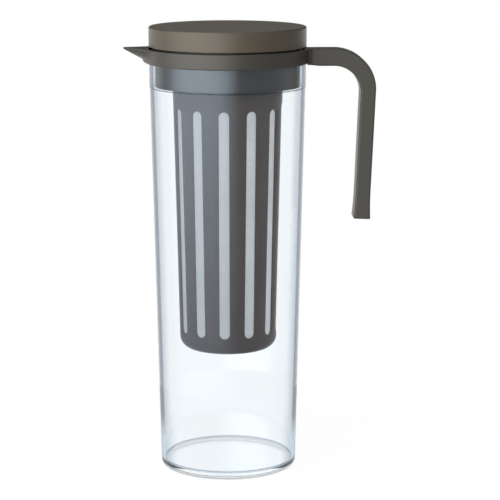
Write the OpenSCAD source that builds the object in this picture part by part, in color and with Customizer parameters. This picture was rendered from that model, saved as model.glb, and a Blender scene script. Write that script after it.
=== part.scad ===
// Iced coffee jug: a clear tapered jug, a collar with spout and handle, a plug lid and a strainer.
// The jug stands on z = 0 with its axis on Z. The handle points to +X and the spout to -X.

/* [Jug] */
// Height of the rim above the table
jug_h = 250.5; // [210:0.5:320]
// Outside diameter at the foot
base_d = 82.6; // [68:0.2:104]
// Outside diameter of the tapered wall where it meets the band
body_d = 93.5; // [77:0.1:118]
// How far the straight band at the mouth stands out from the tapered wall
band_step = 0.35; // [0.2:0.05:0.6]
// Height of the band at the mouth
band_h = 16.5; // [13:0.5:24]
// Thickness of the wall
jug_wall = 2.2; // [1.6:0.1:3]
// Thickness of the floor
jug_floor = 3.9; // [3:0.1:7]
// Rounding under the foot
foot_round = 3; // [0.6:0.1:3.4]
// Rounding inside, where the wall meets the floor
floor_round = 1.7; // [0.6:0.1:4]

/* [Collar] */
// Height of the outer ring
ring_h = 9; // [7.5:0.5:12]
// Thickness of the outer ring where it covers the jug's rim
ring_wall = 1.05; // [0.8:0.05:1.8]
// Height of the parapet that stands around the pouring gutter
parapet_h = 4; // [3:0.5:7]
// Thickness of the parapet
parapet_wall = 2.2; // [1.4:0.1:2.6]
// Thickness of the gutter's floor over the rim
gutter_t = 1.5; // [1:0.1:3]
// Thickness of the skirt that hangs inside the jug's mouth
skirt_wall = 1.9; // [1.2:0.1:2.6]
// Width of the lip inside the skirt, on which the strainer hangs
lip_w = 1.9; // [1.2:0.1:3]
// Thickness of that lip
lip_t = 1.7; // [1:0.1:3]
// Rounding of the ring's edges
ring_edge = 0.5; // [0.2:0.1:0.8]
// Thickness of the soft ring between rim and collar
rim_seal_t = 1; // [0.6:0.1:2]
// Clearance between the collar and the jug
collar_gap = 0.15; // [0.05:0.05:0.3]
// Height of the bead that snaps under the rim
bead_h = 1; // [0.6:0.1:1.2]
// How far the bead reaches into the rim's groove
bead_depth = 0.35; // [0.2:0.05:0.5]

/* [Handle] */
// Distance from the ring to the middle of the grip
handle_reach = 36; // [30:0.1:48]
// Height from the middle of the arm to the end of the grip
handle_drop = 98.1; // [70:0.1:125]
// Width of the handle
handle_w = 15; // [10:0.5:22]
// Height of the arm at the ring
arm_h = 10.2; // [8:0.1:11]
// How far the arm's top lies below the top of the ring
arm_sink = 0.3; // [0:0.1:1]
// Thickness of the grip below the bend
grip_top_t = 9.1; // [7:0.1:11]
// Radius of the bend, at the middle of the handle
bend_r = 20.3; // [12:0.1:26]
// Extra thickness in the middle of the bend
bend_swell = 0.7; // [0:0.1:1.5]
// Thickness of the grip where it is thinnest
grip_t = 8.9; // [6:0.1:11]
// Thickness of the grip at its flared end
grip_end_t = 10.2; // [7:0.1:12]
// Height of the flare
grip_flare = 16; // [8:1:30]
// Angle by which the grip leans in towards the jug
grip_lean = 2.4; // [0:0.1:5]
// Rounding along the handle's edges
handle_edge = 0.7; // [0.5:0.1:3]
// Rounding around the grip's end
grip_end_round = 0.6; // [0.3:0.1:2]

/* [Spout] */
// Distance from the ring to the tip
spout_reach = 14.2; // [8:0.1:22]
// Width across the root
spout_w = 22; // [16:0.5:32]
// Radius of the tip
spout_tip_r = 3; // [1.6:0.1:5]
// Height of the keel's root below the rim
spout_keel = 6.8; // [5:0.1:8]
// Height of the lip at the tip
spout_lip = 0.8; // [0.4:0.1:2]
// Thickness of the spout's wall
spout_wall = 1.4; // [0.9:0.1:2]

/* [Lid] */
// Height of the drum
lid_h = 12; // [8:0.5:24]
// Gap between the drum and the collar
lid_gap = 1; // [0.4:0.1:2]
// How far the drum's side stands back from the ring
lid_inset = 1; // [0:0.1:1.6]
// Thickness of the drum's side
lid_wall = 2.3; // [1.6:0.1:2.6]
// Thickness of the drum's top
lid_top_t = 2.6; // [1.6:0.1:4]
// Rounding of the drum's edges
lid_edge = 0.6; // [0.3:0.1:1.2]
// Depth of the plug below the gutter
plug_depth = 10; // [8:0.5:11.5]
// Thickness of the plug's walls
plug_wall = 2; // [1.4:0.1:2.6]
// Clearance between the plug and the collar
plug_gap = 0.4; // [0.3:0.05:0.8]
// Clearance between the plug and the drum
drum_gap = 0.15; // [0.05:0.05:0.3]
// Height of the gasket's groove
gasket_h = 4; // [3:0.1:5]
// Depth of the gasket's groove
gasket_depth = 1.5; // [1:0.1:2]
// Clearance around the gasket in its groove
groove_gap = 0.05; // [0.02:0.01:0.1]
// Radius of the gasket's two lips
gasket_lip_r = 0.55; // [0.4:0.05:0.7]
// Clearance between the gasket's lips and the collar
gasket_gap = 0.15; // [0.1:0.05:0.3]

/* [Strainer] */
// Length from the seat down to the closed end
strainer_len = 162; // [100:0.5:195]
// Space between the strainer and the lip that it hangs on
strainer_gap = 7.8; // [6:0.1:14]
// Taper of the strainer's wall, in degrees
strainer_draft = 1.34; // [0.3:0.02:2]
// Thickness of the ribs between the slots
rib_wall = 1; // [0.8:0.1:2.4]
// Thickness of the floor
strainer_floor = 2.5; // [1.6:0.1:4]
// Rounding around the closed end
strainer_round = 8; // [5:0.5:12]
// Thickness of the flange
flange_t = 2; // [1.4:0.1:3]
// Clearance between the flange and the collar
flange_gap = 0.3; // [0.2:0.05:0.6]
// Height of the rim that stands on the flange
strainer_rim_h = 4; // [2:0.1:4.6]
// Number of slots
slot_count = 12; // [8:1:14]
// Angle by which the slots are turned from the handle, in degrees
slot_turn = -6; // [-15:1:15]
// Width of a slot
slot_w = 6.4; // [3:0.1:7]
// Height of the slots' lower end above the closed end
slot_low = 10.5; // [9:0.5:20]
// Depth of the slots' upper end below the seat
slot_high = 14; // [8:0.5:30]
// How far the mesh reaches past the slots' ends
mesh_margin = 3.5; // [2:0.1:6]
// Thickness of the mesh
mesh_t = 0.4; // [0.3:0.05:0.8]
// Clearance on each side of the mesh
mesh_gap = 0.05; // [0.02:0.01:0.1]
// Number of openings in the flange, for pouring past the strainer
flow_count = 6; // [4:1:8]
// Width of those openings
flow_w = 3.6; // [2:0.1:3.9]
// Angle that each of them covers
flow_span = 40; // [15:1:40]

/* [Hidden] */
$fn = 96;
// Sides of the round pieces in the spout
facets = 32;
// Steps around the handle's bend, and around each corner of its section
bend_steps = 12;
corner_steps = 4;
// Thickness of a slice that only spans a shape
sliver = 0.05;
// How far a cut reaches past the face that it opens
past = 1;

// Colours
clear = [0.88, 0.92, 0.96, 0.35];
taupe = [0.37, 0.345, 0.305];
silicone = [0.82, 0.82, 0.8];
screen = [0.76, 0.79, 0.81];

// Jug
base_r = base_d / 2;
body_r = body_d / 2;
band_r = body_r + band_step;
band_z = jug_h - band_h;
jug_slope = (body_r - base_r) / band_z;
bore_r = band_r - jug_wall;

// Collar, from the jug's rim upwards and from its wall inwards
cover_r = band_r + collar_gap;
ring_r = cover_r + ring_wall;
parapet_r = ring_r - parapet_wall;
skirt_r = bore_r - collar_gap;
mouth_r = skirt_r - skirt_wall;
lip_r = mouth_r - lip_w;
ceiling_z = jug_h + rim_seal_t;
gutter_z = ceiling_z + gutter_t;
collar_z = gutter_z + parapet_h;
ring_z = collar_z - ring_h;
skirt_z = band_z + 2 * collar_gap;
seat_z = skirt_z + lip_t;

// Snap bead and the groove that it drops into, between the ring's lower edge and the rim
bead_r = band_r - bead_depth;
bead_z = (ring_z + jug_h - bead_h) / 2;
groove_r = bead_r - collar_gap;

// Handle, in the plane y = 0
arm_z = collar_z - arm_sink - arm_h / 2;
bend_x = ring_r + handle_reach - bend_r;
bend_z = arm_z - bend_r;
grip_len = (handle_drop - bend_r - bend_r * sin(grip_lean)) / cos(grip_lean);

// Lid
lid_r = ring_r - lid_inset;
lid_z = collar_z + lid_gap;
drum_r = lid_r - lid_wall;
spigot_h = plug_wall;
shoulder_r = parapet_r - plug_gap;
plug_r = mouth_r - plug_gap;
plug_z = gutter_z - plug_depth;
gasket_r = plug_r - gasket_depth;
gasket_z = plug_z + (plug_depth - gasket_h) / 2;

// Strainer
strainer_slope = tan(strainer_draft);
strainer_top_r = lip_r - strainer_gap;
strainer_z = seat_z - strainer_len;
strainer_wall = rib_wall + mesh_t + 2 * mesh_gap;
strainer_top_z = seat_z + flange_t + strainer_rim_h;
flange_r = mouth_r - flange_gap;
slot_z0 = strainer_z + slot_low;
slot_z1 = seat_z - slot_high;
mesh_z0 = slot_z0 - mesh_margin;
mesh_z1 = slot_z1 + mesh_margin;
flow_r = (strainer_top_r + lip_r) / 2;

// Outside radius of the strainer at height z
function strainer_r(z) = strainer_top_r - (seat_z - z) * strainer_slope;

// Half profile of a tapered round body with its lower edge rounded
module tapered_profile(r_low, r_high, z_low, z_high, round) {
  slope = (r_high - r_low) / (z_high - z_low);
  steep = sqrt(1 + slope * slope);
  centre = [r_low + round * (slope - steep), z_low + round];
  polygon([
    [0, z_low],
    [centre.x, z_low],
    centre + round * [1, -slope] / steep,
    [r_high, z_high],
    [0, z_high]
  ]);
  translate(centre) circle(round);
}

// Half profile of a drum with both outer edges rounded
module drum_profile(r, z_low, z_high, edge) {
  translate([0, z_low]) square([r - edge, z_high - z_low]);
  translate([0, z_low + edge]) square([r, z_high - z_low - 2 * edge]);
  for (z = [z_low + edge, z_high - edge]) translate([r - edge, z]) circle(edge);
}

// Rectangle in the half plane, between two radii and two heights
module band_profile(r_in, r_out, z_low, z_high) {
  translate([r_in, z_low]) square([r_out - r_in, z_high - z_low]);
}

module jug_body() {
  color(clear) rotate_extrude() difference() {
    union() {
      tapered_profile(base_r, body_r, 0, band_z, foot_round);
      band_profile(0, band_r, band_z, jug_h);
    }
    inside_low_r = base_r + jug_floor * jug_slope - jug_wall;
    tapered_profile(inside_low_r, body_r - jug_wall, jug_floor, band_z, floor_round);
    band_profile(0, bore_r, band_z, jug_h + past);
    band_profile(groove_r, band_r + past, bead_z - collar_gap, bead_z + bead_h + collar_gap);
  }
}

module rim_seal() {
  color(silicone) rotate_extrude()
    band_profile(bore_r + collar_gap, band_r - collar_gap, jug_h, ceiling_z);
}

// A station on the handle's middle line: [x, z, direction of its outer side, thickness, width]
function bend_station(a) =
  let (
    share = (90 - a) / (90 + grip_lean),
    t = arm_h + (grip_top_t - arm_h) * share + bend_swell * sin(180 * share)
  )
  [bend_x + bend_r * cos(a), bend_z + bend_r * sin(a), a, t, handle_w];
function grip_station(down, t, w) =
  let (top = bend_station(-grip_lean))
  [top[0] - down * sin(grip_lean), top[1] - down * cos(grip_lean), -grip_lean, t, w];

// Corners of a rounded rectangle, t thick and w wide
function handle_section(t, w) = [
  for (corner = [[1, 1, 0], [-1, 1, 90], [-1, -1, 180], [1, -1, 270]], k = [0 : corner_steps])
    let (a = corner[2] + k * 90 / corner_steps)
    [
      corner[0] * (t / 2 - handle_edge) + handle_edge * cos(a),
      corner[1] * (w / 2 - handle_edge) + handle_edge * sin(a)
    ]
];

// The handle: its section swept along the arm, the bend and the grip
module handle() {
  stations = [
    [cover_r, arm_z, 90, arm_h, handle_w],
    for (i = [0 : bend_steps]) bend_station(90 - i * (90 + grip_lean) / bend_steps),
    grip_station(grip_len - grip_flare, grip_t, handle_w),
    grip_station(grip_len - grip_end_round, grip_end_t, handle_w),
    grip_station(grip_len, grip_end_t - 2 * grip_end_round, handle_w - 2 * grip_end_round)
  ];
  ring = 4 * (corner_steps + 1);
  last = len(stations) - 1;
  points = [
    for (s = stations, p = handle_section(s[3], s[4]))
      [s[0] + p[0] * cos(s[2]), p[1], s[1] + p[0] * sin(s[2])]
  ];
  sides = [
    for (i = [0 : last - 1], k = [0 : ring - 1])
      let (a = i * ring + k, b = i * ring + (k + 1) % ring)
      each [[a, b, b + ring], [a, b + ring, a + ring]]
  ];
  ends = [
    [for (k = [ring - 1 : -1 : 0]) k],
    [for (k = [0 : ring - 1]) last * ring + k]
  ];
  polyhedron(points, concat(sides, ends));
}

// Outline of the spout seen from above, with its root inside the ring and inset by the given amount
module spout_outline(inset) {
  shoulder = spout_w / 4;
  hull() {
    translate([-(ring_r + spout_reach - spout_tip_r), 0]) circle(spout_tip_r - inset, $fn = facets);
    for (y = [-1, 1])
      translate([-ring_r, y * shoulder]) circle(shoulder - inset, $fn = facets);
  }
}

module spout() {
  root = spout_w / 4;
  hull() {
    translate([0, 0, collar_z - spout_lip]) linear_extrude(spout_lip) spout_outline(0);
    translate([-(ring_r + ring_wall - root), 0, collar_z - spout_keel])
      linear_extrude(sliver) circle(root, $fn = facets);
  }
}

// The pouring channel: level with the gutter at the ring, and open above
module spout_channel() {
  floor_l = parapet_wall + spout_wall + past;
  hull() {
    translate([0, 0, collar_z + sliver]) linear_extrude(past) spout_outline(spout_wall);
    translate([-(ring_r + spout_wall), -spout_w / 4, gutter_z]) cube([floor_l, spout_w / 2, sliver]);
  }
}

module collar() {
  color(taupe) difference() {
    union() {
      rotate_extrude() {
        drum_profile(ring_r, ring_z, collar_z, ring_edge);
        band_profile(0, skirt_r, skirt_z, collar_z - ring_edge);
      }
      handle();
      spout();
    }
    rotate_extrude() {
      band_profile(0, lip_r, skirt_z - past, collar_z + past);
      band_profile(0, mouth_r, seat_z, collar_z + past);
      band_profile(0, parapet_r, gutter_z, collar_z + past);
      difference() {
        band_profile(skirt_r, cover_r, skirt_z - past, ceiling_z);
        band_profile(bead_r, cover_r, bead_z, bead_z + bead_h);
      }
    }
    spout_channel();
  }
}

module lid_cap() {
  color(taupe) rotate_extrude() difference() {
    drum_profile(lid_r, lid_z, lid_z + lid_h, lid_edge);
    band_profile(0, drum_r, lid_z - past, lid_z + lid_h - lid_top_t);
  }
}

module lid_plug() {
  color(taupe) rotate_extrude() difference() {
    union() {
      band_profile(0, drum_r - drum_gap, lid_z, lid_z + spigot_h);
      band_profile(0, shoulder_r, gutter_z, lid_z);
      band_profile(0, plug_r, plug_z, gutter_z);
    }
    band_profile(0, shoulder_r - plug_wall, gutter_z + plug_wall, lid_z + spigot_h + past);
    band_profile(0, gasket_r - plug_wall, plug_z + plug_wall, gutter_z + plug_wall + past);
    band_profile(gasket_r, plug_r + past, gasket_z, gasket_z + gasket_h);
  }
}

module lid_gasket() {
  lip_x = mouth_r - gasket_gap - gasket_lip_r;
  color(silicone) rotate_extrude() {
    band_profile(gasket_r + groove_gap, lip_x, gasket_z + groove_gap, gasket_z + gasket_h - groove_gap);
    for (z = [gasket_h / 4, gasket_h * 3 / 4]) translate([lip_x, gasket_z + z]) circle(gasket_lip_r);
  }
}

// One slot's cutter, pointing along +X through one side of the wall
module slot_cut() {
  radius = slot_w / 2;
  inner_r = strainer_r(slot_z0) - strainer_wall - past;
  translate([inner_r, 0, 0]) rotate([90, 0, 90]) linear_extrude(strainer_top_r + past - inner_r) {
    translate([-radius, slot_z0 + radius]) square([slot_w, slot_z1 - slot_z0 - slot_w]);
    for (z = [slot_z0 + radius, slot_z1 - radius]) translate([0, z]) circle(radius);
  }
}

// Half profile of the space between two depths under the strainer's outside, over the mesh's height
module mesh_profile(outer, inner, margin) {
  low = mesh_z0 - margin;
  high = mesh_z1 + margin;
  polygon([
    [strainer_r(low) - outer, low],
    [strainer_r(high) - outer, high],
    [strainer_r(high) - inner, high],
    [strainer_r(low) - inner, low]
  ]);
}

module strainer_frame() {
  inside_z = strainer_z + strainer_floor;
  color(taupe) difference() {
    rotate_extrude() difference() {
      union() {
        tapered_profile(strainer_r(strainer_z), strainer_top_r, strainer_z, seat_z, strainer_round);
        band_profile(0, flange_r, seat_z, seat_z + flange_t);
        band_profile(0, strainer_top_r, seat_z, strainer_top_z);
      }
      tapered_profile(strainer_r(inside_z) - strainer_wall, strainer_top_r - strainer_wall,
        inside_z, seat_z, strainer_round - strainer_floor);
      band_profile(0, strainer_top_r - strainer_wall, seat_z, strainer_top_z + past);
      mesh_profile(rib_wall, strainer_wall + past, mesh_gap);
    }
    for (i = [0 : slot_count - 1]) rotate([0, 0, slot_turn + i * 360 / slot_count]) slot_cut();
    for (i = [0 : flow_count - 1])
      rotate([0, 0, i * 360 / flow_count - flow_span / 2])
        translate([0, 0, seat_z - past]) rotate_extrude(angle = flow_span)
          band_profile(flow_r - flow_w / 2, flow_r + flow_w / 2, 0, flange_t + 2 * past);
  }
}

module strainer_mesh() {
  color(screen) rotate_extrude()
    mesh_profile(rib_wall + mesh_gap, rib_wall + mesh_gap + mesh_t, 0);
}

jug_body();
rim_seal();
collar();
lid_cap();
lid_plug();
lid_gasket();
strainer_frame();
strainer_mesh();
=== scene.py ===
# Looks of the iced coffee jug: clear jug, collar with spout and handle, plug lid and slotted strainer.
import math

import bmesh
import bpy
from mathutils import Matrix, Vector


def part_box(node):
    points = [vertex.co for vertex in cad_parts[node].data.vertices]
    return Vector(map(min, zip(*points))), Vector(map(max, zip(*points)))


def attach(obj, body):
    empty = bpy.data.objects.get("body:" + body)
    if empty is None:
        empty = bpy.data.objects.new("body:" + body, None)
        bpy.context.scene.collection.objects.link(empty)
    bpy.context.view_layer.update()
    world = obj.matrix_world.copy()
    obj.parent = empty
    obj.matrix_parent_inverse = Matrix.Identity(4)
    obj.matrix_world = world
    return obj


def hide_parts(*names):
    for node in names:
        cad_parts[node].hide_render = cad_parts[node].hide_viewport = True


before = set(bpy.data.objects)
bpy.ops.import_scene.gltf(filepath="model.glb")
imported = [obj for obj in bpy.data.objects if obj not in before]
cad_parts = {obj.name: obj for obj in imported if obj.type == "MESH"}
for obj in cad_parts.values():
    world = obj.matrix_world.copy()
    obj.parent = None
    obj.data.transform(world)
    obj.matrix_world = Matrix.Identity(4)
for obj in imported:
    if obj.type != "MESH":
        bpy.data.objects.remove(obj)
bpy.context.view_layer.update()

# Units, and how finely the round pieces are turned
MM = 0.001
TINY = 0.001 * MM
AXIS = (0, 0, 1)
TURN_STEPS = 256
COLLAR_STEPS = 360
CORNER_STEPS = 5
SHARP_ANGLE = math.radians(38)

# Jug
band_r, _, rim_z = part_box("jug_body")[1]
base_r = 41.3 * MM
body_r = band_r - 0.35 * MM
band_z = rim_z - 16.5 * MM
jug_wall = 2.2 * MM
jug_floor = 3.9 * MM
foot_round = 3 * MM
floor_round = 1.2 * MM
step_round = 0.12 * MM
bore_r = band_r - jug_wall
jug_slope = (body_r - base_r) / band_z

# Collar
collar_gap = 0.15 * MM
cover_r = band_r + collar_gap
ring_r = cover_r + 1.05 * MM
ring_edge = 0.5 * MM
parapet_r = ring_r - 2.2 * MM
mouth_r = bore_r - collar_gap - 1.9 * MM
skirt_r = mouth_r + 0.65 * MM
lip_r = mouth_r - 1.9 * MM
ceiling_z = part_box("rim_seal")[1].z
gutter_z = ceiling_z + 1.5 * MM
collar_z = gutter_z + 4 * MM
ring_z = collar_z - 9 * MM
skirt_z = band_z + 2 * collar_gap
seat_z = skirt_z + 1.7 * MM
small_round = 0.3 * MM
skirt_round = 0.4 * MM
parapet_bevel = 1.2 * MM
wall_rows = 16

# Spout: a beak with a round tip and straight sides, blended into the ring
spout_tip = -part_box("collar")[0].x
spout_tip_r = 3 * MM
spout_side_angle = math.radians(52.3)
spout_wall = 1.4 * MM
spout_blend = 3.5 * MM
spout_cuts = 2
spout_lip_z = collar_z - 0.8 * MM
keel_root_z = ring_z + 2.6 * MM
keel_root_share = 0.19
root_bulge_share = 0.19
spout_rise = 0.6 * MM
channel_foot_r = ring_r + spout_wall

# Handle
handle_w = 15 * MM
handle_edge = 0.7 * MM
root_fillet = 3.2 * MM
root_share = 0.6
root_steps = 8
root_z = (collar_z + ring_z) / 2
root_t = collar_z - ring_z - 2 * ring_edge
arm_h = 10.2 * MM
arm_z = collar_z - 0.3 * MM - arm_h / 2
bend_r = 20.3 * MM
bend_x = ring_r + 36 * MM - bend_r
bend_z = arm_z - bend_r
grip_lean = math.radians(2.4)
bend_swell = 0.7 * MM
grip_top_t = 9.1 * MM
grip_t = 8.9 * MM
grip_end_t = 10.2 * MM
grip_flare = 16 * MM
grip_end_round = 0.6 * MM
grip_len = (98.1 * MM - bend_r - bend_r * math.sin(grip_lean)) / math.cos(grip_lean)
bend_steps = 28
grip_rows = (0.1, 0.5, 1)
flare_steps = 8

# Lid
lid_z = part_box("lid_cap")[0].z
lid_r, _, lid_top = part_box("lid_cap")[1]
lid_edge = 0.9 * MM
lid_top_t = 2.6 * MM
drum_r = lid_r - 2.3 * MM
plug_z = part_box("lid_plug")[0].z
spigot_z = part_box("lid_plug")[1].z
spigot_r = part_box("lid_plug")[1].x
plug_wall = 2 * MM
shoulder_r = parapet_r - 0.4 * MM
shoulder_h = 2.5 * MM
neck_r = shoulder_r - 2.6 * MM
plug_r = mouth_r - 0.4 * MM
gasket_r = plug_r - 1.5 * MM
gasket_h = 4 * MM
gasket_z = (plug_z + gutter_z - gasket_h) / 2
gasket_fit = 0.05 * MM
gasket_lip_r = 0.55 * MM
gasket_lip_round = 0.98 * gasket_lip_r
gasket_lips = (0.25, 0.75)
gasket_tip_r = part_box("lid_gasket")[1].x

# Strainer
strainer_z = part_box("strainer_frame")[0].z
flange_r, _, strainer_top_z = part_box("strainer_frame")[1]
strainer_top_r = lip_r - 7.8 * MM
strainer_slope = math.tan(math.radians(1.34))
rib_wall = 1 * MM
flange_t = 2 * MM
slot_count = 12
slot_turn = math.radians(-6)
slot_r = 3.2 * MM
slot_low_z = strainer_z + 10.5 * MM
slot_high_z = seat_z - 14 * MM
slot_sink = 0.6 * MM
panel_low_z = slot_low_z - 3 * MM
panel_high_z = slot_high_z + 4.5 * MM
end_points = 36
side_rows = 30
bowl_steps = 10
bowl_rings = (0.6, 0.3, 0)
flow_count = 6
flow_w = 3.6 * MM
flow_span = math.radians(40)
sleeve_low_z, sleeve_high_z = (corner.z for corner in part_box("strainer_mesh"))
sleeve_t = 0.4 * MM
sleeve_gap = 0.05 * MM
sleeve_threads = 560

# Finishes, in linear colour
taupe_colour = (0.060, 0.056, 0.047)
lid_colour = (0.100, 0.083, 0.060)
# Painted light: the strainer's taupe is lightened to make up for the dim light inside the jug
strainer_lit_colour = (0.110, 0.088, 0.079)
taupe_gloss = 0.35
strainer_gloss = 0.08
taupe_rough = 0.36
taupe_grain = 2200
taupe_uneven = 0.12
silicone_colour = (0.62, 0.62, 0.6)
silicone_rough = 0.6
silicone_grain = 1500
silicone_uneven = 0.08
grain_depth = 0.02 * MM
grain_strength = 0.25
rough_share = 0.5
grain_detail = 2
grain_breakup = 0.6
cloud_scale = 25
cloud_detail = 3
cloud_breakup = 0.5

# Woven mesh
thread_colour = (0.90, 0.92, 0.94)
gap_colour = (0.70, 0.72, 0.74)
thread_lift = 0.3
thread_low = 0.15
thread_high = 0.75
thread_depth = 0.1 * MM
screen_rough = 0.55
screen_through = 0.06
mottle_scale = 800
mottle_share = 0.3

# Clear plastic: tints along its edges, dark lines of painted shade where it is thick, at the floor's inner
# corner and the band's step, and a matt resting ring
clear_ior = 1.46
clear_rough = 0.03
clear_grain = 400
clear_uneven = 0.02
clear_colour = (0.955, 0.982, 1.0)
clear_mirror_colour = (0.7, 0.85, 1.0)
clear_shade = (0.2, 0.21, 0.22)
edge_colour = (0.70, 0.76, 0.81)
edge_start = 0.5
edge_end = 0.75
under_rough = 0.3
under_ring = 9 * MM
foot_spread = 0.14
foot_fade = (32 * MM, 8 * MM)
# Painted shade: dark lines at the floor's inner corner and the band's step, and a darker ring below the
# corner
shade_line_colour = (0.12, 0.17, 0.22)
corner_line = 0.8 * MM
corner_share = 0.55
step_line = 0.9 * MM

# Floor, with its brightness as each kind of ray sees it
floor_r = 0.2
floor_steps = 96
floor_gap = 0.2 * MM
floor_colour = (0.15, 0.15, 0.15)
floor_rough = 0.9
floor_glow = 0.93
floor_bounce = 0.4
floor_inside = 0.22
floor_inside_near = 0.9
floor_inside_colour = (0.72, 0.87, 1.0)
near_r = 0.07
far_r = 0.14
floor_mirrored = 0.6

# Room, as it lights the object and as the object mirrors it
ambient = 0.35
ambient_inside = 1.05
ambient_right = 0.3
room_mirrored = 0.46
inner_mirrored = (0.17, 0.22, 0.28)
inner_up = 0.06
inner_down = -0.02
ahead_start = 0.3
ahead_end = -0.3
window_mirrored = 4.5
window_colour = (1.6, 1.8, 2.0)
window_around = math.radians(-44)
window_inner = math.radians(10)
window_outer = math.radians(64)
window_foot = (-0.4, -0.06)
window_top = (1.0, 0.75)
ceiling_mirrored = 0.1
overhead_mirrored = 1.8
overhead_start = 0.7
overhead_end = 0.92
wall_start = 0.45
wall_end = 0.85
left_wall_around = math.radians(-150)
left_wall_start = 0.45
left_wall_end = 0.9
wall_top = 0.12
wall_foot = 0.0

# Lamps and camera
lamp_z = 0.3
lamp_away = 1.2
lamp_h = 1.3
camera_lens = 145.04
camera_sensor = 36
camera_place = (-39.28 * MM, -1207.4 * MM, 363.74 * MM)
camera_tilt = math.radians(90 - 10.783)
camera_turn = math.radians(-2.5)


def strainer_r(z):
    """Outside radius of the cage at height z."""
    return strainer_top_r - max(0, seat_z - z) * strainer_slope


# Mesh helpers

def round_vertex(bm, vert, radius):
    """Rounds one corner of a wire with an arc."""
    bmesh.ops.bevel(bm, geom=[vert], offset=radius, offset_type="OFFSET", segments=CORNER_STEPS,
                    profile=0.5, affect="VERTICES", material=-1)


def draw_outline(bm, corners, closed=False):
    """A wire in the half plane y = 0 through corners (r, z), or (r, z, rounding)."""
    verts = [bm.verts.new((corner[0], 0, corner[1])) for corner in corners]
    ends = verts[1:] + verts[:1] if closed else verts[1:]
    for start, end in zip(verts, ends):
        bm.edges.new((start, end))
    for vert, corner in zip(verts, corners):
        if len(corner) > 2:
            round_vertex(bm, vert, corner[2])


def turn(bm, steps=TURN_STEPS):
    """Turns the wire all the way round the jug's axis into a closed skin."""
    bmesh.ops.spin(bm, geom=bm.verts[:] + bm.edges[:], cent=(0, 0, 0), axis=AXIS, angle=math.tau,
                   steps=steps, use_merge=True, use_duplicate=False)
    close_seams(bm)


def close_seams(bm):
    """Merges doubles and points the faces outwards."""
    bmesh.ops.remove_doubles(bm, verts=bm.verts, dist=TINY)
    bmesh.ops.recalc_face_normals(bm, faces=bm.faces)


def turned(corners, closed=False, steps=TURN_STEPS):
    """A round piece turned from an outline."""
    bm = bmesh.new()
    draw_outline(bm, corners, closed)
    turn(bm, steps)
    return bm


def place(name, bm, finish, body, node):
    """Makes the piece's object, gives it its finish and lets it ride on its body."""
    mesh = bpy.data.meshes.new(name)
    bm.to_mesh(mesh)
    bm.free()
    mesh.shade_smooth()
    mesh.set_sharp_from_angle(angle=SHARP_ANGLE)
    mesh.materials.append(finish)
    piece = bpy.data.objects.new(name, mesh)
    bpy.context.scene.collection.objects.link(piece)
    even = piece.modifiers.new("even_shading", "WEIGHTED_NORMAL")
    even.keep_sharp = True
    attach(piece, body)
    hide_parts(node)
    return piece


# Round pieces

def clear_jug():
    """The tapered jug, with a band at its mouth, a round foot and a thick floor."""
    inner_foot_r = base_r + jug_floor * jug_slope - jug_wall
    return turned([
        (0, 0),
        (base_r, 0, foot_round),
        (body_r, band_z, step_round),
        (band_r, band_z, step_round),
        (band_r, rim_z, small_round),
        (bore_r, rim_z, small_round),
        (bore_r, band_z),
        (body_r - jug_wall, band_z),
        (inner_foot_r, jug_floor, floor_round),
        (0, jug_floor),
    ])


def rim_ring():
    """The soft ring between the jug's rim and the collar."""
    inner_r = bore_r + collar_gap
    outer_r = band_r - collar_gap
    return turned([
        (inner_r, rim_z, small_round),
        (outer_r, rim_z, small_round),
        (outer_r, ceiling_z, small_round),
        (inner_r, ceiling_z, small_round),
    ], closed=True)


def lid_drum():
    """The flat drum, open below."""
    ceiling = lid_top - lid_top_t
    return turned([
        (0, lid_top),
        (lid_r, lid_top, lid_edge),
        (lid_r, lid_z, small_round),
        (drum_r, lid_z, small_round),
        (drum_r, ceiling, small_round),
        (0, ceiling),
    ])


def plug_cup():
    """The stepped plug that seats in the collar, with a groove for its gasket."""
    cup_r = gasket_r - plug_wall
    return turned([
        (0, plug_z),
        (plug_r, plug_z, 2 * small_round),
        (plug_r, gasket_z),
        (gasket_r, gasket_z),
        (gasket_r, gasket_z + gasket_h),
        (plug_r, gasket_z + gasket_h),
        (plug_r, gutter_z),
        (shoulder_r, gutter_z, small_round),
        (shoulder_r, gutter_z + shoulder_h, small_round),
        (neck_r, gutter_z + shoulder_h),
        (neck_r, lid_z),
        (spigot_r, lid_z),
        (spigot_r, spigot_z),
        (neck_r - plug_wall, spigot_z),
        (neck_r - plug_wall, gutter_z + plug_wall),
        (cup_r, gutter_z + plug_wall),
        (cup_r, plug_z + plug_wall),
        (0, plug_z + plug_wall),
    ])


def plug_gasket():
    """The soft ring in the plug's groove, with two round lips."""
    inner_r = gasket_r + gasket_fit
    low = gasket_z + gasket_fit
    high = gasket_z + gasket_h - gasket_fit
    root_r = gasket_tip_r - 2 * gasket_lip_r
    corners = [(inner_r, low, small_round), (root_r, low)]
    for share in gasket_lips:
        middle = gasket_z + share * gasket_h
        corners += [
            (root_r, middle - gasket_lip_r),
            (gasket_tip_r, middle - gasket_lip_r, gasket_lip_round),
            (gasket_tip_r, middle + gasket_lip_r, gasket_lip_round),
            (root_r, middle + gasket_lip_r),
        ]
    corners += [(root_r, high), (inner_r, high, small_round)]
    return turned(corners, closed=True)


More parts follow.
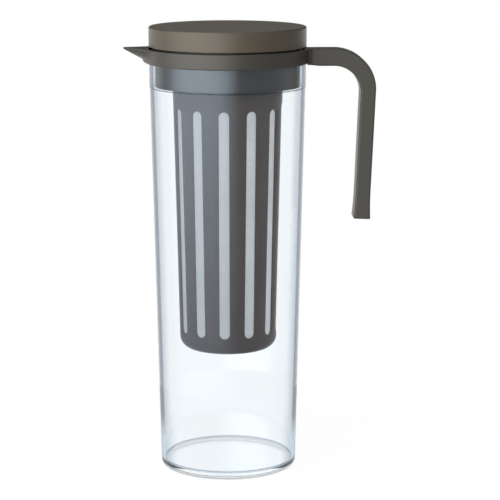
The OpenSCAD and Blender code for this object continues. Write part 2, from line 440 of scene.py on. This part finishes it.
def strainer_sleeve():
    """The tapered sleeve of woven mesh behind the cage's slots, with its weave laid along it."""
    outer = rib_wall + sleeve_gap
    inner = outer + sleeve_t
    bm = turned([
        (strainer_r(sleeve_low_z) - outer, sleeve_low_z),
        (strainer_r(sleeve_high_z) - outer, sleeve_high_z),
        (strainer_r(sleeve_high_z) - inner, sleeve_high_z),
        (strainer_r(sleeve_low_z) - inner, sleeve_low_z),
    ], closed=True)
    weave = bm.loops.layers.uv.new("weave")
    for face in bm.faces:
        middle = face.calc_center_median()
        for loop in face.loops:
            turned_by = Vector(loop.vert.co.xy).angle_signed(middle.xy)
            around = (math.atan2(middle.y, middle.x) + turned_by) / math.tau
            loop[weave].uv = (around, (loop.vert.co.z - sleeve_low_z) / (math.tau * strainer_top_r))
    return bm


# Collar

def blended(a, b, width):
    """The larger of a and b, with a soft passage where they cross."""
    return max(a, b) + max(width - abs(a - b), 0) ** 2 / (4 * width)


def beak_r(angle, wall):
    """Distance from the axis to the spout's outline, moved in by wall, at an angle from its middle."""
    tip_middle = spout_tip - spout_tip_r
    tip_r = spout_tip_r - wall
    tip_angle = math.atan2(tip_r * math.sin(spout_side_angle),
                           tip_middle + tip_r * math.cos(spout_side_angle))
    if angle > tip_angle:
        return (tip_middle * math.cos(spout_side_angle) + tip_r) / math.cos(angle - spout_side_angle)
    across = tip_middle * math.sin(angle)
    return tip_middle * math.cos(angle) + math.sqrt(tip_r ** 2 - across ** 2)


def keel_share(z):
    """How far the spout's outside has come out at height z, from 0 on the ring to 1 at the lip."""
    if z < keel_root_z:
        drop = min(1, (keel_root_z - z) / (keel_root_z - ring_z))
        return root_bulge_share * math.sqrt(1 - drop ** 2)
    up = min(1, (z - keel_root_z) / (spout_lip_z - keel_root_z))
    return keel_root_share + (1 - keel_root_share) * up


def pull_spout(bm):
    """Pulls the ring's wall and the gutter's parapet out into the pouring spout."""
    level = [
        edge for edge in bm.edges
        if abs(edge.verts[0].co.z - edge.verts[1].co.z) < TINY
        and abs(edge.verts[0].co.xy.length - edge.verts[1].co.xy.length) < TINY
        and all(math.atan2(abs(vert.co.y), -vert.co.x) < spout_side_angle / 2 for vert in edge.verts)
    ]
    bmesh.ops.subdivide_edges(bm, edges=level, cuts=spout_cuts, use_grid_fill=True)
    for vert in bm.verts:
        r = vert.co.xy.length
        z = vert.co.z
        angle = abs(math.atan2(vert.co.y, -vert.co.x))
        if angle > spout_side_angle:
            continue
        if r > ring_r - ring_edge - TINY and z > ring_z - TINY:
            out = blended(ring_r, beak_r(angle, 0), spout_blend) - ring_r
            pulled = r + out * keel_share(z)
        elif abs(r - parapet_r) < 2 * small_round and z > gutter_z - TINY:
            out = blended(parapet_r, beak_r(angle, spout_wall), spout_blend) - parapet_r
            foot = min(out, channel_foot_r - parapet_r)
            pulled = r + foot + (out - foot) * (z - gutter_z) / (collar_z - gutter_z)
        else:
            continue
        vert.co.xy *= pulled / r
        lift = spout_rise * max(0, pulled - r) / (spout_tip - ring_r)
        vert.co.z += lift * (z - ring_z) / (collar_z - ring_z)


def handle_stations():
    """Stations along the handle: (x, z, direction of its outer side, thickness, width, edge, wrap).

    The first ones are the fillet at the ring, where the section still wraps around the ring's wall.
    """
    up = math.pi / 2
    stations = []
    for k in range(1, root_steps + 1):
        a = up * k / root_steps
        grown = 1 - math.cos(a)
        share = root_share + (1 - root_share) * grown / 2
        z = root_z + (arm_z - root_z) * share
        t = root_t + (arm_h - root_t) * share
        w = handle_w + 2 * root_fillet * (1 - math.sin(a))
        stations.append((ring_r + root_fillet * grown, z, up, t, w, handle_edge * grown, 1))
    stations.append((ring_r + 2 * root_fillet, arm_z, up, arm_h, handle_w, handle_edge, 0))
    for k in range(bend_steps + 1):
        share = k / bend_steps
        a = up - (up + grip_lean) * share
        t = arm_h + (grip_top_t - arm_h) * share + bend_swell * math.sin(math.pi * share)
        stations.append((bend_x + bend_r * math.cos(a), bend_z + bend_r * math.sin(a), a, t,
                         handle_w, handle_edge, 0))
    top_x, top_z = stations[-1][:2]

    def grip(down, t, w):
        """A station at a distance down the grip."""
        x = top_x - down * math.sin(grip_lean)
        z = top_z - down * math.cos(grip_lean)
        return (x, z, -grip_lean, t, w, handle_edge, 0)

    straight = grip_len - grip_flare
    for share in grip_rows:
        stations.append(grip(straight * share, grip_top_t + (grip_t - grip_top_t) * share, handle_w))
    for k in range(1, flare_steps + 1):
        share = k / flare_steps
        down = straight + (grip_flare - grip_end_round) * share
        stations.append(grip(down, grip_t + (grip_end_t - grip_t) * share ** 2, handle_w))
    for k in range(1, CORNER_STEPS + 1):
        a = up * k / CORNER_STEPS
        less = 2 * grip_end_round * (1 - math.cos(a))
        down = grip_len - grip_end_round * (1 - math.sin(a))
        stations.append(grip(down, grip_end_t - less, handle_w - less))
    return stations


def in_section(u, v, t, w, edge):
    """A point of a rounded rectangle, from its place (u, v) in a square of side 2."""
    p = Vector((v * t / 2, u * w / 2))
    inner = Vector((max(-1, min(1, p.x / (t / 2 - edge))) * (t / 2 - edge),
                    max(-1, min(1, p.y / (w / 2 - edge))) * (w / 2 - edge)))
    out = p - inner
    if min(abs(out.x), abs(out.y)) < TINY:
        return p
    return inner + out * max(abs(out.x), abs(out.y)) / out.length


def grow_handle(bm):
    """Draws the handle out of the ring's wall, one station at a time."""
    half_w = handle_w / 2 + root_fillet
    across = bm.verts.layers.float.new("across")
    upward = bm.verts.layers.float.new("upward")
    region = [
        face for face in bm.faces
        if all(vert.co.x > 0 and abs(vert.co.y) < half_w and abs(vert.co.xy.length - ring_r) < TINY
               for vert in face.verts)
    ]
    reach = max(vert.co.y for face in region for vert in face.verts)
    for vert in {vert for face in region for vert in face.verts}:
        vert[across] = vert.co.y / reach
        vert[upward] = (vert.co.z - root_z) / (root_t / 2)
    for x, z, a, t, w, edge, wrap in handle_stations():
        grown = bmesh.ops.extrude_face_region(bm, geom=region)["geom"]
        bmesh.ops.delete(bm, geom=region, context="FACES")
        region = [part for part in grown if isinstance(part, bmesh.types.BMFace)]
        for vert in (part for part in grown if isinstance(part, bmesh.types.BMVert)):
            p, y = in_section(vert[across], vert[upward], t, w, edge)
            round_back = wrap * (ring_r - math.sqrt(ring_r ** 2 - y ** 2))
            vert.co = (x + p * math.cos(a) - round_back, y, z + p * math.sin(a))


def collar_moulding():
    """The collar in one moulding: skirt, gutter, ring, spout and handle."""
    bead_r = body_r
    bead_h = 1 * MM
    bead_z = (ring_z + rim_z - bead_h) / 2
    bm = bmesh.new()
    draw_outline(bm, [
        (cover_r, ring_z),
        (ring_r, ring_z, ring_edge),
        (ring_r, collar_z, ring_edge),
        (parapet_r + parapet_bevel, collar_z, small_round),
        (parapet_r, collar_z - parapet_bevel),
        (parapet_r, gutter_z),
        (mouth_r, gutter_z, small_round),
        (mouth_r, seat_z),
        (lip_r, seat_z),
        (lip_r, skirt_z, small_round),
        (skirt_r, skirt_z, skirt_round),
        (skirt_r, ceiling_z),
        (cover_r, ceiling_z),
        (cover_r, bead_z + bead_h),
        (bead_r, bead_z + bead_h, small_round),
        (bead_r, bead_z, small_round),
        (cover_r, bead_z),
    ], closed=True)
    wall = [edge for edge in bm.edges if all(abs(vert.co.x - ring_r) < TINY for vert in edge.verts)]
    bmesh.ops.subdivide_edges(bm, edges=wall, cuts=wall_rows - 1)
    turn(bm, COLLAR_STEPS)
    pull_spout(bm)
    grow_handle(bm)
    close_seams(bm)
    return bm


# Strainer

def stretched_ring(bm, half_w, low, high, low_middle, high_middle, square):
    """A ring of points around a slot in the plane y = 0, pulled apart to its length, square or round."""
    upright = Matrix.Rotation(math.pi / 2, 4, "X") @ Matrix.Rotation(math.pi / end_points, 4, "Z")
    made = bmesh.ops.create_circle(bm, segments=end_points, radius=1, matrix=upright)
    for vert in made["verts"]:
        reach = max(abs(vert.co.x), abs(vert.co.z)) if square else 1
        x, z = vert.co.x / reach, vert.co.z / reach
        end = high_middle + z * (high - high_middle) if z > 0 else low_middle + z * (low_middle - low)
        vert.co = (x * half_w, 0, end)
    edges = {edge for vert in made["verts"] for edge in vert.link_edges}
    long_edges = [edge for edge in edges if edge.calc_length() > (high_middle - low_middle) / 2]
    cut = bmesh.ops.subdivide_edges(bm, edges=long_edges, cuts=side_rows)
    return edges | {part for part in cut["geom"] if isinstance(part, bmesh.types.BMEdge)}


def rolled_angle(x, z, half_pitch):
    """Angle on the cage of a flat panel's point: slots keep their width, and the ribs take the rest."""
    slot_angle = math.asin(slot_r / strainer_r(z))
    rib_angle = math.pi / slot_count - slot_angle
    if abs(x) <= slot_r:
        return math.asin(x / strainer_r(z))
    return math.copysign(slot_angle + rib_angle * (abs(x) - slot_r) / (half_pitch - slot_r), x)


def grow_rim(bm, edges, r, z):
    """Draws an edge of the panel out to another radius and height, and returns the new edge."""
    grown = bmesh.ops.extrude_edge_only(bm, edges=edges)["geom"]
    for vert in (part for part in grown if isinstance(part, bmesh.types.BMVert)):
        flat = vert.co.xy.normalized() * r
        vert.co = (flat.x, flat.y, z)
    return [part for part in grown if isinstance(part, bmesh.types.BMEdge)]


def edges_at(bm, z):
    """The edges that lie at height z."""
    return [edge for edge in bm.edges if all(abs(vert.co.z - z) < TINY for vert in edge.verts)]


def strainer_cage():
    """The tapered cage: a ring of panels with a slot each, a rim above and a round closed end."""
    half_pitch = math.pi / slot_count * strainer_top_r
    low_middle = slot_low_z + slot_r
    high_middle = slot_high_z - slot_r
    bm = bmesh.new()
    slot = stretched_ring(bm, slot_r, slot_low_z, slot_high_z, low_middle, high_middle, False)
    panel = stretched_ring(bm, half_pitch, panel_low_z, panel_high_z, low_middle, high_middle, True)
    bridge = bmesh.ops.bridge_loops(bm, edges=list(slot | panel))
    rungs = [edge for edge in bridge["edges"] if edge.is_manifold or edge.is_boundary]
    bmesh.ops.subdivide_edges(bm, edges=rungs, cuts=1, use_grid_fill=True)
    for vert in bm.verts:
        a = rolled_angle(vert.co.x, vert.co.z, half_pitch)
        r = strainer_r(vert.co.z)
        vert.co = (r * math.cos(a), r * math.sin(a), vert.co.z)

    upper = edges_at(bm, panel_high_z)
    upper = grow_rim(bm, upper, strainer_r(seat_z), seat_z)
    grow_rim(bm, upper, strainer_r(seat_z), strainer_top_z)
    lower = edges_at(bm, panel_low_z)
    bowl_round = panel_low_z - strainer_z
    bowl_r = strainer_r(panel_low_z) - bowl_round
    for k in range(1, bowl_steps + 1):
        a = math.pi / 2 * k / bowl_steps
        z = panel_low_z - bowl_round * math.sin(a)
        lower = grow_rim(bm, lower, bowl_r + bowl_round * math.cos(a), z)
    for share in bowl_rings:
        lower = grow_rim(bm, lower, bowl_r * share, strainer_z)

    bmesh.ops.rotate(bm, verts=bm.verts, cent=(0, 0, 0), matrix=Matrix.Rotation(slot_turn, 3, "Z"))
    bmesh.ops.spin(bm, geom=bm.verts[:] + bm.edges[:] + bm.faces[:], cent=(0, 0, 0), axis=AXIS,
                   angle=math.tau * (slot_count - 1) / slot_count, steps=slot_count - 1, use_duplicate=True)
    close_seams(bm)
    bmesh.ops.solidify(bm, geom=bm.faces[:], thickness=rib_wall)
    for vert in {vert for edge in bm.edges if is_slot_edge(edge) for vert in edge.verts}:
        vert.co.xy *= 1 - slot_sink / vert.co.xy.length
    flange = bpy.data.meshes.new("flange")
    plate = strainer_flange()
    plate.to_mesh(flange)
    plate.free()
    bm.from_mesh(flange)
    bpy.data.meshes.remove(flange)
    return bm


def is_slot_edge(edge):
    """True for the outer edges of the slots."""
    if edge.calc_face_angle(0) < SHARP_ANGLE:
        return False
    return all(panel_low_z < vert.co.z < panel_high_z
               and abs(vert.co.xy.length - strainer_r(vert.co.z)) < rib_wall / 4 for vert in edge.verts)


def strainer_flange():
    """The plate that hangs the strainer in the collar, with curved openings for pouring."""
    flow_r = (strainer_top_r + lip_r) / 2
    flow_low, flow_high = flow_r - flow_w / 2, flow_r + flow_w / 2
    top = seat_z + flange_t
    bm = turned([(r, top) for r in (strainer_top_r - rib_wall / 2, flow_low, flow_high, flange_r)])
    half_span = flow_span * flow_count / math.tau / 2
    open_faces = []
    for face in bm.faces:
        middle = face.calc_center_median()
        a = math.atan2(middle.y, middle.x) * flow_count / math.tau
        if flow_low < middle.xy.length < flow_high and abs(a - round(a)) < half_span:
            open_faces.append(face)
    bmesh.ops.delete(bm, geom=open_faces, context="FACES")
    bmesh.ops.solidify(bm, geom=bm.faces[:], thickness=flange_t)
    return bm


# Finishes

def node(tree, kind, inputs, **settings):
    """Adds a shader node, with its settings, and fills its inputs with values or links."""
    made = tree.nodes.new(kind)
    for name, value in settings.items():
        setattr(made, name, value)
    fill(tree, made, inputs)
    return made


def fill(tree, made, inputs):
    """Fills a node's inputs, by name or number, with values or with links from other nodes' outputs."""
    for name, value in inputs.items():
        if isinstance(value, bpy.types.NodeSocket):
            tree.links.new(value, made.inputs[name])
        else:
            made.inputs[name].default_value = value


def maths(tree, operation, *values):
    """One sum of two or three values."""
    made = node(tree, "ShaderNodeMath", dict(enumerate(values)), operation=operation)
    return made.outputs["Value"]


def ranged(tree, value, low, high):
    """Spreads a value softly from 0 to 1 over the range low to high."""
    made = node(tree, "ShaderNodeMapRange", {"Value": value, "From Min": low, "From Max": high},
                interpolation_type="SMOOTHSTEP")
    return made.outputs["Result"]


def mixed(tree, share, start, end):
    """A colour between two others, each given as three numbers or as a link."""
    start, end = ((*c, 1) if isinstance(c, tuple) else c for c in (start, end))
    made = node(tree, "ShaderNodeMix", {"Factor": share, 6: start, 7: end}, data_type="RGBA")
    return made.outputs[2]


def length(tree, vector):
    """The length of a vector."""
    return node(tree, "ShaderNodeVectorMath", {0: vector}, operation="LENGTH").outputs["Value"]


def new_group(name, takes, gives):
    """An empty node group with named sockets, and the nodes for its inputs and outputs."""
    group = bpy.data.node_groups.new(name, "ShaderNodeTree")
    for way, sockets in (("INPUT", takes), ("OUTPUT", gives)):
        for socket, kind in sockets.items():
            group.interface.new_socket(socket, in_out=way, socket_type="NodeSocket" + kind)
    return group, group.nodes.new("NodeGroupInput").outputs, group.nodes.new("NodeGroupOutput")


def moulding_group():
    """Fine satin grain and slow clouds, as left by a mould: colour, roughness and height."""
    group, given, result = new_group(
        "moulding",
        {"Place": "Vector", "Colour": "Color", "Roughness": "Float", "Grain": "Float", "Uneven": "Float"},
        {"Colour": "Color", "Roughness": "Float", "Height": "Float"})
    grain = node(group, "ShaderNodeTexNoise", {
        "Vector": given["Place"], "Scale": given["Grain"], "Detail": grain_detail,
        "Roughness": grain_breakup}).outputs["Fac"]
    cloud = node(group, "ShaderNodeTexNoise", {
        "Vector": given["Place"], "Scale": cloud_scale, "Detail": cloud_detail,
        "Roughness": cloud_breakup}).outputs["Fac"]
    both = maths(group, "SUBTRACT", maths(group, "ADD", grain, cloud), 1)
    change = maths(group, "MULTIPLY", both, given["Uneven"])
    tone = node(group, "ShaderNodeVectorMath", {
        0: given["Colour"], "Scale": maths(group, "ADD", change, 1)}, operation="SCALE").outputs["Vector"]
    fill(group, result, {
        "Colour": tone,
        "Roughness": maths(group, "ADD", given["Roughness"], maths(group, "MULTIPLY", change, rough_share)),
        "Height": grain,
    })
    return group


def weave_group():
    """A plain weave: bright round threads that pass over and under each other, with dark gaps."""
    group, given, result = new_group("plain_weave", {"Place": "Vector", "Threads": "Float"},
                                     {"Thread": "Float", "Height": "Float"})
    apart = node(group, "ShaderNodeSeparateXYZ", {"Vector": given["Place"]}).outputs
    turns = maths(group, "MULTIPLY", given["Threads"], math.pi)
    warp = maths(group, "SINE", maths(group, "MULTIPLY", apart["X"], turns))
    weft = maths(group, "SINE", maths(group, "MULTIPLY", apart["Y"], turns))
    over = maths(group, "MULTIPLY_ADD", maths(group, "MULTIPLY", warp, weft), thread_lift, 1 - thread_lift)
    under = maths(group, "SUBTRACT", 2 * (1 - thread_lift), over)
    warp_height = maths(group, "MULTIPLY", maths(group, "ABSOLUTE", warp), over)
    weft_height = maths(group, "MULTIPLY", maths(group, "ABSOLUTE", weft), under)
    height = maths(group, "MAXIMUM", warp_height, weft_height)
    fill(group, result, {"Thread": ranged(group, height, thread_low, thread_high), "Height": height})
    return group


def new_material(name):
    """A material with its node tree and its shader."""
    material = bpy.data.materials.new(name)
    material.use_nodes = True
    return material, material.node_tree, material.node_tree.nodes["Principled BSDF"]


def moulded(name, group, colour, roughness, grain, uneven, depth):
    """A moulded material with satin grain, and its shader."""
    material, tree, shader = new_material(name)
    place_in_piece = node(tree, "ShaderNodeTexCoord", {}).outputs["Object"]
    finish = node(tree, "ShaderNodeGroup", {}, node_tree=group)
    fill(tree, finish, {"Place": place_in_piece, "Colour": (*colour, 1), "Roughness": roughness,
                        "Grain": grain, "Uneven": uneven})
    fill(tree, shader, {"Base Color": finish.outputs["Colour"], "Roughness": finish.outputs["Roughness"]})
    if depth:
        bump = node(tree, "ShaderNodeBump", {
            "Height": finish.outputs["Height"], "Distance": depth, "Strength": grain_strength})
        fill(tree, shader, {"Normal": bump.outputs["Normal"]})
    return material, tree, shader


def taupe_plastic(name, group, colour, gloss):
    """Dark satin plastic with a fine grain."""
    material, tree, shader = moulded(name, group, colour, taupe_rough, taupe_grain, taupe_uneven, grain_depth)
    fill(tree, shader, {"Specular IOR Level": gloss})
    return material


def mesh_screen(group, mottle):
    """The pale woven mesh, laid along the sleeve's own map, a little mottled."""
    material, tree, shader = new_material("mesh_screen")
    along = node(tree, "ShaderNodeUVMap", {}, uv_map="weave").outputs["UV"]
    weave = node(tree, "ShaderNodeGroup", {}, node_tree=group)
    fill(tree, weave, {"Place": along, "Threads": sleeve_threads})
    colour = mixed(tree, weave.outputs["Thread"], gap_colour, thread_colour)
    bump = node(tree, "ShaderNodeBump", {"Height": weave.outputs["Height"], "Distance": thread_depth})
    mottled = node(tree, "ShaderNodeGroup", {}, node_tree=mottle)
    fill(tree, mottled, {
        "Place": node(tree, "ShaderNodeTexCoord", {}).outputs["Object"], "Colour": colour,
        "Roughness": screen_rough, "Grain": mottle_scale, "Uneven": mottle_share})
    fill(tree, shader, {"Base Color": mottled.outputs["Colour"], "Roughness": mottled.outputs["Roughness"],
                        "Normal": bump.outputs["Normal"]})
    through = node(tree, "ShaderNodeBsdfTranslucent", {"Color": mottled.outputs["Colour"]})
    both = node(tree, "ShaderNodeMixShader", {
        "Fac": screen_through, 1: shader.outputs["BSDF"], 2: through.outputs["BSDF"]})
    fill(tree, tree.nodes["Material Output"], {"Surface": both.outputs["Shader"]})
    return material


def shade_line_masks(tree):
    """Masks of the jug's upright walls, their foot, its resting ring, and the painted shade lines at the
    floor's inner corner and the band's step.
    """
    place_in_piece = node(tree, "ShaderNodeTexCoord", {}).outputs["Object"]
    z = node(tree, "ShaderNodeSeparateXYZ", {"Vector": place_in_piece}).outputs["Z"]
    flat = node(tree, "ShaderNodeVectorMath", {0: place_in_piece, 1: (1, 1, 0)}, operation="MULTIPLY")
    r = length(tree, flat.outputs["Vector"])

    def line(value, middle, width):
        """A soft line around one value."""
        away = maths(tree, "ABSOLUTE", maths(tree, "SUBTRACT", value, middle))
        return ranged(tree, away, width, 0)

    corner_r = base_r + jug_floor * jug_slope - jug_wall
    corner_z = jug_floor + floor_round
    ring = maths(tree, "MULTIPLY", maths(tree, "GREATER_THAN", r, corner_r - floor_round),
                 maths(tree, "LESS_THAN", z, corner_z))
    corner = maths(tree, "MAXIMUM", line(z, corner_z, corner_line),
                   maths(tree, "MULTIPLY", ring, corner_share))
    inner = maths(tree, "LESS_THAN", r, corner_r + jug_wall / 2)
    inner = maths(tree, "MULTIPLY", inner, maths(tree, "GREATER_THAN", z, jug_floor / 2))
    outer = maths(tree, "GREATER_THAN", r, band_r - jug_wall / 2)
    # Painted shade: the dark corner line and ring inside, and the dark step line outside
    shade_marks = maths(tree, "MAXIMUM", maths(tree, "MULTIPLY", corner, inner),
                   maths(tree, "MULTIPLY", line(z, band_z, step_line), outer))
    upright = ranged(tree, z, jug_floor, 2 * jug_floor)
    under = maths(tree, "MULTIPLY", ranged(tree, r, base_r - under_ring, base_r - foot_round),
                  ranged(tree, z, foot_round, foot_round / 3))
    return upright, ranged(tree, z, *foot_fade), under, shade_marks


def clear_plastic(group):
    """Polished clear plastic, a little blue, darker along its edges, with dark lines of painted shade; lamps
    shine through it.
    """
    material, tree, shader = moulded(
        "clear_plastic", group, clear_colour, clear_rough, clear_grain, clear_uneven, 0)
    slant = node(tree, "ShaderNodeLayerWeight", {"Blend": 0.5}).outputs["Facing"]
    upright, foot, under, lines = shade_line_masks(tree)
    slant = maths(tree, "MULTIPLY_ADD", foot, foot_spread, slant)
    edge = maths(tree, "MULTIPLY", ranged(tree, slant, edge_start, edge_end), upright)
    tint = mixed(tree, edge, clear_colour, edge_colour)
    polish = shader.inputs["Roughness"].links[0].from_socket
    # The base colour carries the painted shade lines
    fill(tree, shader, {
        "Base Color": mixed(tree, lines, tint, shade_line_colour),
        "Roughness": maths(tree, "MULTIPLY_ADD", under, under_rough, polish),
        "IOR": clear_ior,
        "Transmission Weight": 1,
        "Specular Tint": (*clear_mirror_colour, 1),
    })
    shadow = node(tree, "ShaderNodeLightPath", {}).outputs["Is Shadow Ray"]
    see_through = node(tree, "ShaderNodeBsdfTransparent", {"Color": (*clear_shade, 1)})
    both = node(tree, "ShaderNodeMixShader", {
        "Fac": shadow, 1: shader.outputs["BSDF"], 2: see_through.outputs["BSDF"]})
    fill(tree, tree.nodes["Material Output"], {"Surface": both.outputs["Shader"]})
    return material


moulding = moulding_group()
taupe = taupe_plastic("taupe_plastic", moulding, taupe_colour, taupe_gloss)
taupe_lid = taupe_plastic("taupe_lid", moulding, lid_colour, taupe_gloss)
# A lighter copy of the taupe for the strainer, painted light for inside the jug
taupe_strainer_lit = taupe_plastic("taupe_strainer_lit", moulding, strainer_lit_colour, strainer_gloss)
silicone = moulded("silicone", moulding, silicone_colour, silicone_rough, silicone_grain,
                   silicone_uneven, grain_depth)[0]
screen = mesh_screen(weave_group(), moulding)
clear = clear_plastic(moulding)

place("clear_jug", clear_jug(), clear, "jug", "jug_body")
place("rim_ring", rim_ring(), silicone, "jug", "rim_seal")
place("collar_moulding", collar_moulding(), taupe, "jug", "collar")
place("lid_drum", lid_drum(), taupe_lid, "lid", "lid_cap")
place("plug_cup", plug_cup(), taupe, "lid", "lid_plug")
place("plug_gasket", plug_gasket(), silicone, "lid", "lid_gasket")
place("strainer_cage", strainer_cage(), taupe_strainer_lit, "strainer", "strainer_frame")
sleeve = place("strainer_sleeve", strainer_sleeve(), screen, "strainer", "strainer_mesh")
sleeve.visible_diffuse = False
sleeve.visible_shadow = False

# Stage: a pale floor, plain studio light, and the camera

scene = bpy.context.scene
scene.view_settings.view_transform = "Standard"


def seen_through(tree):
    """Masks of rays: glossy, straight, turned back in the jug's wall, turned back inside it, let through.

    The middle three have met no matt surface on their way from the camera.
    """
    path = node(tree, "ShaderNodeLightPath", {}).outputs
    seen = maths(tree, "MAXIMUM", path["Is Camera Ray"], path["Is Transmission Ray"])
    first = maths(tree, "MULTIPLY", seen, maths(tree, "LESS_THAN", path["Diffuse Depth"], 0.5))
    turned_back = maths(tree, "MULTIPLY", first, maths(tree, "GREATER_THAN", path["Glossy Depth"], 0.5))
    in_wall = maths(tree, "MULTIPLY", turned_back, maths(tree, "LESS_THAN", path["Transmission Depth"], 2.5))
    glossy = maths(tree, "MULTIPLY", path["Is Glossy Ray"], path["Is Reflection Ray"])
    return (glossy, maths(tree, "SUBTRACT", first, turned_back), in_wall,
            maths(tree, "SUBTRACT", turned_back, in_wall), path["Is Transmission Ray"])


def towards(tree, way, around):
    """How far a direction points to an angle around the object from the camera's side, as a cosine."""
    level = (math.sin(around), -math.cos(around), 0)
    return node(tree, "ShaderNodeVectorMath", {0: way, 1: level}, operation="DOT_PRODUCT").outputs["Value"]


def mirrored_room(tree, way, apart):
    """Brightness of the room in the object's gloss, and the mask of its window.

    The room is grey, with a white wall behind and to the left, a dark ceiling and a soft light overhead.
    """
    behind = maths(tree, "MAXIMUM", ranged(tree, apart["Y"], wall_start, wall_end),
                   ranged(tree, towards(tree, way, left_wall_around), left_wall_start, left_wall_end))
    walls = maths(tree, "MULTIPLY_ADD", behind, 1 - room_mirrored, room_mirrored)
    brighter = maths(tree, "SUBTRACT", walls, ceiling_mirrored)
    below = ranged(tree, apart["Z"], wall_top, wall_foot)
    mirrored = maths(tree, "MULTIPLY_ADD", brighter, below, ceiling_mirrored)
    window = ranged(tree, towards(tree, way, window_around), math.cos(window_outer), math.cos(window_inner))
    for ends in (window_foot, window_top):
        window = maths(tree, "MULTIPLY", window, ranged(tree, apart["Z"], *ends))
    mirrored = maths(tree, "MULTIPLY_ADD", window, window_mirrored, mirrored)
    overhead = ranged(tree, apart["Z"], overhead_start, overhead_end)
    return maths(tree, "MULTIPLY_ADD", overhead, overhead_mirrored, mirrored), window


def studio_world():
    """White where it is seen; a soft light on matt surfaces, and the mirrored room on glossy ones."""
    world = bpy.data.worlds.new("studio")
    world.use_nodes = True
    tree = world.node_tree
    way = node(tree, "ShaderNodeTexCoord", {}).outputs["Generated"]
    apart = node(tree, "ShaderNodeSeparateXYZ", {"Vector": way}).outputs
    mirrored, window = mirrored_room(tree, way, apart)
    glossy, background, inside, held, through = seen_through(tree)
    shade = maths(tree, "MULTIPLY_ADD", apart["X"], ambient_right, ambient_inside - ambient)
    shade = maths(tree, "MULTIPLY_ADD", through, shade, ambient)
    room = maths(tree, "ADD", maths(tree, "MULTIPLY", glossy, mirrored),
                 maths(tree, "MULTIPLY", maths(tree, "SUBTRACT", 1, glossy), shade))
    ahead = ranged(tree, apart["Y"], ahead_start, ahead_end)
    on_held = maths(tree, "MULTIPLY_ADD", ahead, maths(tree, "SUBTRACT", mirrored, 1), 1)
    white = maths(tree, "ADD", background, inside)
    other = maths(tree, "SUBTRACT", 1, maths(tree, "ADD", white, held))
    strength = maths(tree, "MULTIPLY_ADD", held, on_held,
                     maths(tree, "MULTIPLY_ADD", other, room, white))
    in_wall = mixed(tree, window, inner_mirrored, window_colour)
    downward = ranged(tree, apart["Z"], inner_up, inner_down)
    colour = mixed(tree, maths(tree, "MULTIPLY", inside, downward), (1, 1, 1), in_wall)
    fill(tree, tree.nodes["Background"], {"Color": colour, "Strength": strength})
    return world


def studio_floor():
    """A round white floor that keeps the object's shadow."""
    mesh = bpy.data.meshes.new("floor")
    bm = bmesh.new()
    bmesh.ops.create_circle(bm, cap_ends=True, segments=floor_steps, radius=floor_r)
    bm.to_mesh(mesh)
    bm.free()
    floor = bpy.data.objects.new("floor", mesh)
    floor.location.z = -floor_gap
    scene.collection.objects.link(floor)
    material, tree, shader = new_material("floor")
    glossy, straight, inside, held, _ = seen_through(tree)
    background = maths(tree, "ADD", straight, held)
    place_on_floor = node(tree, "ShaderNodeTexCoord", {}).outputs["Object"]
    near = ranged(tree, length(tree, place_on_floor), far_r, near_r)
    in_wall = maths(tree, "MULTIPLY_ADD", near, floor_inside_near - floor_inside, floor_inside - floor_bounce)
    mirrored = maths(tree, "MULTIPLY_ADD", glossy, floor_mirrored - floor_bounce, floor_bounce)
    mirrored = maths(tree, "MULTIPLY_ADD", inside, in_wall, mirrored)
    fill(tree, shader, {
        "Base Color": (*floor_colour, 1),
        "Roughness": floor_rough,
        "Specular IOR Level": 0,
        "Emission Color": mixed(tree, inside, (1, 1, 1), floor_inside_colour),
        "Emission Strength": maths(tree, "MULTIPLY_ADD", background, floor_glow - floor_bounce, mirrored),
    })
    mesh.materials.append(material)


def softbox(name, around, spread, brightness):
    """A soft lamp that faces the object, at an angle around it from the camera's side."""
    lamp = bpy.data.lights.new(name, "AREA")
    lamp.shape = "RECTANGLE"
    lamp.size = 2 * lamp_away * math.tan(spread / 2)
    lamp.size_y = lamp_h
    lamp.energy = brightness * math.pi * lamp.size * lamp.size_y
    box = bpy.data.objects.new(name, lamp)
    box.location = (lamp_away * math.sin(around), -lamp_away * math.cos(around), lamp_z)
    box.rotation_euler = (math.pi / 2, 0, around)
    box.visible_camera = False
    box.visible_glossy = False
    box.visible_transmission = False
    scene.collection.objects.link(box)


camera = bpy.data.objects.new("camera", bpy.data.cameras.new("camera"))
camera.data.lens = camera_lens
camera.data.sensor_width = camera_sensor
camera.location = camera_place
camera.rotation_euler = (camera_tilt, 0, camera_turn)
scene.collection.objects.link(camera)
scene.camera = camera

studio_floor()
scene.world = studio_world()
softbox("key_softbox", math.radians(-36), math.radians(62), 2.2)
softbox("front_softbox", math.radians(12), math.radians(26), 0.25)
softbox("side_softbox", math.radians(-87), math.radians(40), 0.7)
